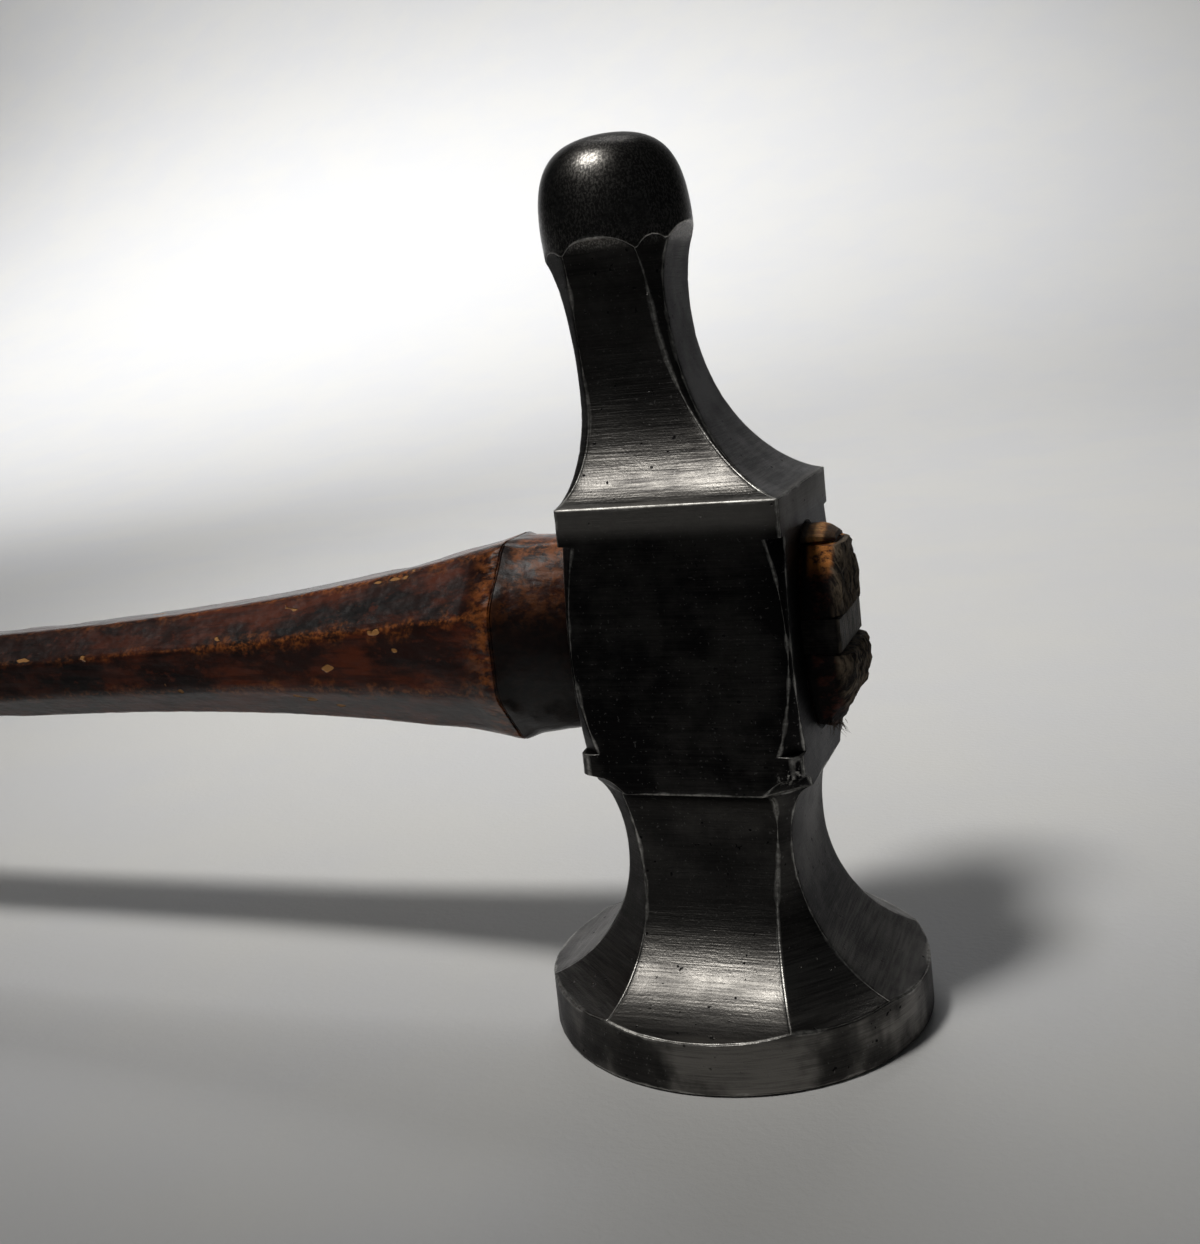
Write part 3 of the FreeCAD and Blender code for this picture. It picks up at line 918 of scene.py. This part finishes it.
def handle_wood():
    """Dark varnish over hardwood, rubbed to orange along the arrises and chipped to bare wood."""
    material, tree, shader, place, edge = new_material("old_varnished_hardwood")
    parts = add_node(tree, "SeparateXYZ", sockets={0: place}).outputs
    worn = group_node(tree, worn_arris, Edge=edge, Place=place, Width=0.8, Breakup=0.9)["Mask"]
    grain = stretched_noise(tree, place, (0.06, 1.0, 1.0), 1.5, 6.0, 0.62)
    streak = stretched_noise(tree, place, (0.035, 0.35, 0.35), 1.0, 4.0, 0.6)
    patch = stretched_noise(tree, place, (0.12, 0.26, 0.26), 1.0, 6.0, 0.68)
    chip = stretched_noise(tree, place, (0.45, 0.9, 0.9), 0.62, 2.0, 0.5)
    scuff = stretched_noise(tree, place, (0.7, 1.0, 1.0), 1.1, 5.0, 0.7)

    # Colours run from the sooty varnish down to clean wood.
    dark = (0.0030, 0.0012, 0.0012, 1)
    brown = (0.020, 0.0048, 0.0026, 1)
    red = (0.100, 0.020, 0.0062, 1)
    orange = (0.40, 0.120, 0.024, 1)
    bare = (0.42, 0.20, 0.062, 1)
    raw_shade, raw_light = (0.05, 0.014, 0.008, 1), (0.68, 0.25, 0.055, 1)
    lower_side_dark, lower_side_light = (0.008, 0.004, 0.004, 1), (0.11, 0.032, 0.020, 1)
    end_shade, end_light = (0.016, 0.011, 0.008, 1), (0.20, 0.15, 0.10, 1)
    along, up = parts["X"], parts["Z"]
    colour = colour_mix(tree, ramp(tree, streak, 0.40, 0.60), dark, brown)
    upper = ramp(tree, up, 25.0, 34.0)
    near_head = ramp(tree, along, -75.0, -35.0, 0.35, 0.9)
    redden = times(tree, ramp(tree, patch, 0.43, 0.60), near_head)
    colour = colour_mix(tree, redden, colour, red)
    flecks = times(tree, ramp(tree, scuff, 0.55, 0.66), add_share(tree, upper, 0.2, 0.35))
    colour = colour_mix(tree, flecks, colour, red)
    colour = colour_mix(tree, times(tree, ramp(tree, grain, 0.46, 0.62), 0.7), colour, brown)
    rubbed = times(tree, worn, ramp(tree, scuff, 0.36, 0.60))
    behind_ring = times(tree, ramp(tree, along, -19.5, -17.2), ramp(tree, along, -16.2, -16.5))
    ring_rub = times(tree, behind_ring, ramp(tree, scuff, 0.42, 0.60))
    rubbed = maths(tree, "MAXIMUM", times(tree, rubbed, near_head), times(tree, ring_rub, 0.6))
    colour = colour_mix(tree, times(tree, rubbed, 0.8), colour, orange)
    chipped = times(tree, ramp(tree, chip, 0.69, 0.71), ramp(tree, along, -16.6, -18.0))
    colour = colour_mix(tree, times(tree, chipped, 0.85), colour, bare)
    taper = ramp(tree, along, -16.5, -16.1)
    mottle = times(tree, taper, ramp(tree, scuff, 0.45, 0.60, 0.0, 0.55))
    colour = colour_mix(tree, mottle, colour, orange)
    # Painted shade: the taper darkens towards its underside and into the crease beside the ring.
    taper_painted_shade = times(tree, taper, ramp(tree, up, 41.5, 34.0, 0.15, 0.97))
    crease_painted_shade = times(tree, taper, ramp(tree, along, -14.5, -16.0))
    taper_painted_shade = maths(tree, "MAXIMUM", taper_painted_shade, times(tree, crease_painted_shade, 0.85))
    colour = colour_mix(tree, taper_painted_shade, colour, dark)

    # Past the cheek there is no varnish: raw sides, and end grain on the outermost face. On the
    # sides the orange above is painted light and the darker wood below is painted shade.
    past = ramp(tree, along, 9.0, 9.4)
    lit_upper_side = colour_mix(tree, ramp(tree, scuff, 0.38, 0.56), raw_shade, raw_light)
    shaded_lower_side = colour_mix(tree, ramp(tree, scuff, 0.45, 0.7), lower_side_dark, lower_side_light)
    side = colour_mix(tree, ramp(tree, up, 37.4, 39.2), shaded_lower_side, lit_upper_side)
    # Painted shadow: the side darkens next to the cheek, where the block shades it.
    side = colour_mix(tree, ramp(tree, along, 9.95, 9.5), side, dark)
    ridges = stretched_noise(tree, place, (1.0, 2.6, 0.5), 1.2, 4.0, 0.6)
    end = colour_mix(tree, ramp(tree, ridges, 0.38, 0.60), end_shade, end_light)
    face = ramp(tree, along, 11.3, 11.9)
    tenon = colour_mix(tree, face, side, end)
    colour = colour_mix(tree, past, colour, tenon)
    tree.links.new(colour, shader.inputs["Base Color"])

    varnish = less(tree, 1.0, past)
    varnish = times(tree, varnish, less(tree, 1.0, times(tree, chipped, 0.8)))
    rough = add_share(tree, varnish, -0.34, 0.70)
    rough = add_share(tree, scuff, 0.14, rough)
    tree.links.new(rough, shader.inputs["Roughness"])
    tree.links.new(times(tree, varnish, 0.35), shader.inputs["Coat Weight"])
    shader.inputs["Coat Roughness"].default_value = 0.16
    shader.inputs["Specular IOR Level"].default_value = 0.3

    dents = stretched_noise(tree, place, (0.6, 1.0, 1.0), 0.55, 2.0, 0.5)
    relief = add_share(tree, grain, 0.06, times(tree, scuff, 0.05))
    relief = add_share(tree, dents, add_share(tree, behind_ring, 1.0, 0.25), relief)
    relief = add_share(tree, chipped, -0.12, relief)
    torn = add_share(tree, scuff, 0.25, times(tree, times(tree, face, ridges), 0.7))
    relief = add_share(tree, times(tree, past, torn), 1.0, relief)
    emboss(tree, shader, relief)
    return material


handle.data.materials.clear()
handle.data.materials.append(handle_wood())
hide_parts("handle")
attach(handle, "root")


# The fibres are dirty grey wood, with a shade of their own.
fibre_shade, fibre_light = (0.03, 0.02, 0.014, 1), (0.16, 0.12, 0.085, 1)
fibre_paint = bpy.data.materials.new("grey_wood_fibre")
fibre_paint.use_nodes = True
fibre_tree = fibre_paint.node_tree
fibre_shader = fibre_tree.nodes["Principled BSDF"]
fibre_place = add_node(fibre_tree, "TexCoord").outputs["Object"]
fibre_tone = add_node(fibre_tree, "TexNoise", sockets={"Vector": fibre_place, "Scale": 900.0})
fibre_colour = colour_mix(fibre_tree, fibre_tone.outputs["Fac"], fibre_shade, fibre_light)
fibre_tree.links.new(fibre_colour, fibre_shader.inputs["Base Color"])
fibre_shader.inputs["Roughness"].default_value = 0.85
fibres.data.materials.append(fibre_paint)
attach(fibres, "root")

# ---------------------------------------------------------------------------
# The wedge: a short flat taper of dark steel, hammered level into the saw kerf so
# that it spreads the tenon in the eye. Its outer end is smooth and slightly rounded.

wedge_steps = 14
wedge_columns = 16
side_gap = 0.02
end_rounding = {wedge_steps: 0.28, wedge_steps - 1: 0.06}
wedge_rows = []
for i in range(wedge_steps + 1):
    x = wedge_tip_x + (wedge_end_x - wedge_tip_x) * i / wedge_steps
    end_round = end_rounding.get(i, 0.0)
    half = wedge_half(x) - end_round
    half_width = eye_width / 2 - side_gap - end_round
    sides = [(2 * s / (wedge_columns - 1) - 1) * half_width for s in range(wedge_columns)]
    top = [(x, y, eye_centre + half) for y in sides]
    bottom = [(x, y, eye_centre - half) for y in reversed(sides)]
    wedge_rows.append(top + bottom)
wedge_grid = np.array(wedge_rows)
wedge_grid[-2, :, 0] = wedge_end_x - 0.3
wedge = new_object("steel_wedge_driven", grid_mesh(
    "wedge", wedge_grid, np.full(wedge_grid.shape[:2], farthest_edge),
    (wedge_tip_x, 0, eye_centre), (wedge_end_x + 0.05, 0, eye_centre)))
smooth_shade(wedge, 50)


def wedge_steel():
    """Plain dark steel, a little scuffed, duller than the head."""
    material, tree, shader, place, _ = new_material("dull_wedge_steel")
    stain = group_node(tree, old_stain, Place=place, Size=0.25)
    marks = group_node(tree, file_marks, Place=place)
    clean = add_share(tree, stain["Clouds"], 0.5, times(tree, marks["Streaks"], 0.3))
    colour = colour_mix(tree, clean, (0.008, 0.007, 0.007, 1), (0.07, 0.063, 0.058, 1))
    out = add_node(tree, "SeparateXYZ", sockets={0: place}).outputs["X"]
    end = ramp(tree, out, 11.7, 11.95)
    ridges = stretched_noise(tree, place, (1.0, 2.6, 0.5), 1.2, 4.0, 0.6)
    dirt_shade, dirt_light = (0.012, 0.009, 0.007, 1), (0.085, 0.068, 0.05, 1)
    darker_ends = colour_mix(tree, ramp(tree, ridges, 0.4, 0.6), dirt_shade, dirt_light)
    colour = colour_mix(tree, end, colour, darker_ends)
    tree.links.new(colour, shader.inputs["Base Color"])
    tree.links.new(add_share(tree, end, -0.8, 0.9), shader.inputs["Metallic"])
    rough = add_share(tree, stain["Clouds"], 0.15, 0.42)
    tree.links.new(add_share(tree, end, 0.2, rough), shader.inputs["Roughness"])
    relief = times(tree, marks["Height"], 0.03)
    relief = add_share(tree, times(tree, end, ridges), 0.5, relief)
    emboss(tree, shader, relief)
    return material


wedge.data.materials.clear()
wedge.data.materials.append(wedge_steel())
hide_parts("steel_wedge")
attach(wedge, "root")

# ---------------------------------------------------------------------------
# The shim: a thin sliver of paler hardwood tapped in over the tenon to take up the
# last slack. A crack parts it from the tenon, and its end is raw and chewed.

shim_half_width = 2.45
shim_columns = 14
shim_x = np.concatenate([
    np.linspace(shim_low.x / mm, cheek, 8), np.linspace(cheek + 0.2, shim_high.x / mm, 12)])
shim_rings = []
for x in shim_x:
    out = smooth((x - cheek) / 2.0)
    last = smooth((x - shim_high.x / mm + 1.0) / 1.0)
    half = shim_half_width + 0.05 * out - 0.9 * last
    slope = smooth((x - cheek - 1.1) / 1.6)
    top = eye_centre + eye_height / 2 - 0.03 + 0.1 * out - 0.65 * slope
    floor_z = shim_floor + 0.02 + 0.12 * out * (1 - last)
    ring = []
    for s in range(shim_columns):
        side = 1 - 2 * s / (shim_columns - 1)
        crown = 1 - abs(side) ** 2.2 * 0.62
        bump = 0.06 * out * noise.noise(Vector((x * 1.3, side * 3, 5.0)))
        ring.append((x, side * half, floor_z + (top - floor_z) * crown + bump))
    for s in range(shim_columns):
        side = 2 * s / (shim_columns - 1) - 1
        bump = 0.05 * out * noise.noise(Vector((x * 1.8, side * 3, 15.0)))
        ring.append((x, side * (half - 0.1), floor_z + bump))
    shim_rings.append(ring)
shim_grid = np.array(shim_rings)
for c in range(shim_grid.shape[1]):
    y, z = shim_grid[-1, c, 1:]
    shim_grid[-1, c, 0] += 0.25 * noise.noise(Vector((y * 1.7, z * 4.0, 2.0))) - 0.1
shim = new_object("eye_shim_sliver", grid_mesh(
    "shim", shim_grid, np.full(shim_grid.shape[:2], farthest_edge),
    shim_grid[0].mean(0), shim_grid[-1].mean(0) + np.array([0.05, 0, 0])))
smooth_shade(shim, 60)


def shim_wood():
    """Pale raw hardwood with dark grain and chewed fibres, darker at both ends."""
    material, tree, shader, place, _ = new_material("raw_pale_hardwood")
    grain = stretched_noise(tree, place, (0.25, 2.0, 2.0), 1.0, 5.0, 0.65)
    scuff = stretched_noise(tree, place, (1, 1, 1), 1.6, 4.0, 0.65)
    late_wood, early_wood = (0.30, 0.10, 0.025, 1), (0.66, 0.34, 0.11, 1)
    chewed_wood, end_dark_tone = (0.10, 0.05, 0.03, 1), (0.022, 0.014, 0.010, 1)
    colour = colour_mix(tree, ramp(tree, grain, 0.35, 0.6), late_wood, early_wood)
    colour = colour_mix(tree, ramp(tree, scuff, 0.62, 0.45, 0.0, 0.5), colour, chewed_wood)
    out = add_node(tree, "SeparateXYZ", sockets={0: place}).outputs["X"]
    # Darker towards the cheek and at the outer end.
    darker_ends = maths(tree, "MAXIMUM", ramp(tree, out, 10.7, 11.1), ramp(tree, out, 9.8, 9.4))
    colour = colour_mix(tree, times(tree, darker_ends, 0.9), colour, end_dark_tone)
    tree.links.new(colour, shader.inputs["Base Color"])
    shader.inputs["Roughness"].default_value = 0.7
    relief = add_share(tree, grain, 0.7, times(tree, scuff, 0.5))
    emboss(tree, shader, relief, 0.7, 0.3 * mm)
    return material


shim.data.materials.clear()
shim.data.materials.append(shim_wood())
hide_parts("eye_shim")
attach(shim, "root")

# ---------------------------------------------------------------------------
# The bench and the light: a pale paper sheet swept up at the back, one small soft lamp
# in front on the handle's side, two washes for the paper behind, which spill a little
# onto the hammer, and a dark room for the steel to mirror. These sizes are in metres.

bench_front = -0.8
bench_back = 0.35
sweep_radius = 0.9
sweep_steps = 32
sheet_top = 2.2
sheet_left = -1.9
sheet_right = 1.1
outline = [(bench_front, 0.0), (-0.2, 0.0), (bench_back, 0.0)]
for i in range(1, sweep_steps + 1):
    turn = math.pi / 2 * i / sweep_steps
    outline.append((bench_back + sweep_radius * math.sin(turn),
                    sweep_radius * (1 - math.cos(turn))))
outline.append((bench_back + sweep_radius, sheet_top))
floor_mesh = bpy.data.meshes.new("pale_sheet")
floor_mesh.from_pydata(
    [(x, y, z) for y, z in outline for x in (sheet_left, sheet_right)], [],
    [(2 * i, 2 * i + 1, 2 * i + 3, 2 * i + 2) for i in range(len(outline) - 1)])
floor = new_object("pale_sheet", floor_mesh)
smooth_shade(floor, 40)
floor_paint = bpy.data.materials.new("pale_paper")
floor_paint.use_nodes = True
floor_tree = floor_paint.node_tree
floor_shader = floor_tree.nodes["Principled BSDF"]
floor_place = add_node(floor_tree, "TexCoord").outputs["Object"]
cloudy = add_node(floor_tree, "TexNoise", sockets={
    "Vector": floor_place, "Scale": 22.0, "Detail": 4.0, "Roughness": 0.6})
tooth = add_node(floor_tree, "TexNoise", sockets={
    "Vector": floor_place, "Scale": 1500.0, "Detail": 3.0, "Roughness": 0.6})
paper_tone = colour_mix(floor_tree, ramp(floor_tree, cloudy.outputs["Fac"], 0.35, 0.65),
                        (0.68, 0.68, 0.685, 1), (0.70, 0.695, 0.68, 1))
floor_tree.links.new(paper_tone, floor_shader.inputs["Base Color"])
floor_shader.inputs["Roughness"].default_value = 0.85
emboss(floor_tree, floor_shader, tooth.outputs["Fac"], 0.35, 0.2 * mm)
floor.data.materials.append(floor_paint)

world = bpy.data.worlds.new("studio")
world.use_nodes = True
room = world.node_tree.nodes["Background"]
room.inputs["Color"].default_value = (0.9, 0.95, 1.0, 1)
room.inputs["Strength"].default_value = 0.025
bpy.context.scene.world = world


def hang_lamp(data, place, aim, power):
    """Hangs a lamp, in watts, pointing at its aim."""
    data.energy = power
    lamp = bpy.data.objects.new(data.name, data)
    lamp.location = place
    lamp.rotation_euler = (Vector(aim) - Vector(place)).to_track_quat("-Z", "Y").to_euler()
    bpy.context.scene.collection.objects.link(lamp)


key = bpy.data.lights.new("key", "SPOT")
key.color = (1.0, 0.985, 0.955)
key.spot_size = math.radians(38)
key.spot_blend = 1.0
key.shadow_soft_size = 0.065
hang_lamp(key, (-0.18, -0.24, 0.62), (-0.02, 0.17, 0.0), 16.5)


def wash_light(name, size, spread):
    """A soft box; a narrow spread keeps most of it off the hammer."""
    data = bpy.data.lights.new(name, "AREA")
    data.shape = "RECTANGLE"
    data.size, data.size_y = size
    data.spread = math.radians(spread)
    return data


hang_lamp(wash_light("wall_wash", (1.3, 0.3), 110), (-0.70, 0.7, 1.25), (-0.70, 1.25, 0.3), 2.9)
hang_lamp(wash_light("floor_wash", (1.0, 0.5), 80), (-0.45, 0.68, 0.95), (-0.45, 0.68, 0.0), 3.3)

# The camera stands low, in front and a little past the toe, looking back across the head.
camera_place = Vector((0.03517, -0.11745, 0.06048))
camera_right = Vector((0.9184, 0.3802, -0.1093)).normalized()
camera_up = Vector((0.0574, 0.1453, 0.9877))
camera_up = (camera_up - camera_up.dot(camera_right) * camera_right).normalized()
camera_back = camera_right.cross(camera_up)
camera_data = bpy.data.cameras.new("camera")
camera_data.sensor_fit = "VERTICAL"
camera_data.sensor_height = 36.0
camera_data.lens = 42.72
camera_data.shift_x = 0.0607
camera_data.shift_y = -0.1111
camera_data.clip_start = 0.005
camera = bpy.data.objects.new("camera", camera_data)
camera.matrix_world = Matrix((
    (camera_right.x, camera_up.x, camera_back.x, camera_place.x),
    (camera_right.y, camera_up.y, camera_back.y, camera_place.y),
    (camera_right.z, camera_up.z, camera_back.z, camera_place.z),
    (0, 0, 0, 1)))
bpy.context.scene.collection.objects.link(camera)
bpy.context.scene.camera = camera
bpy.context.scene.view_settings.view_transform = "Standard"
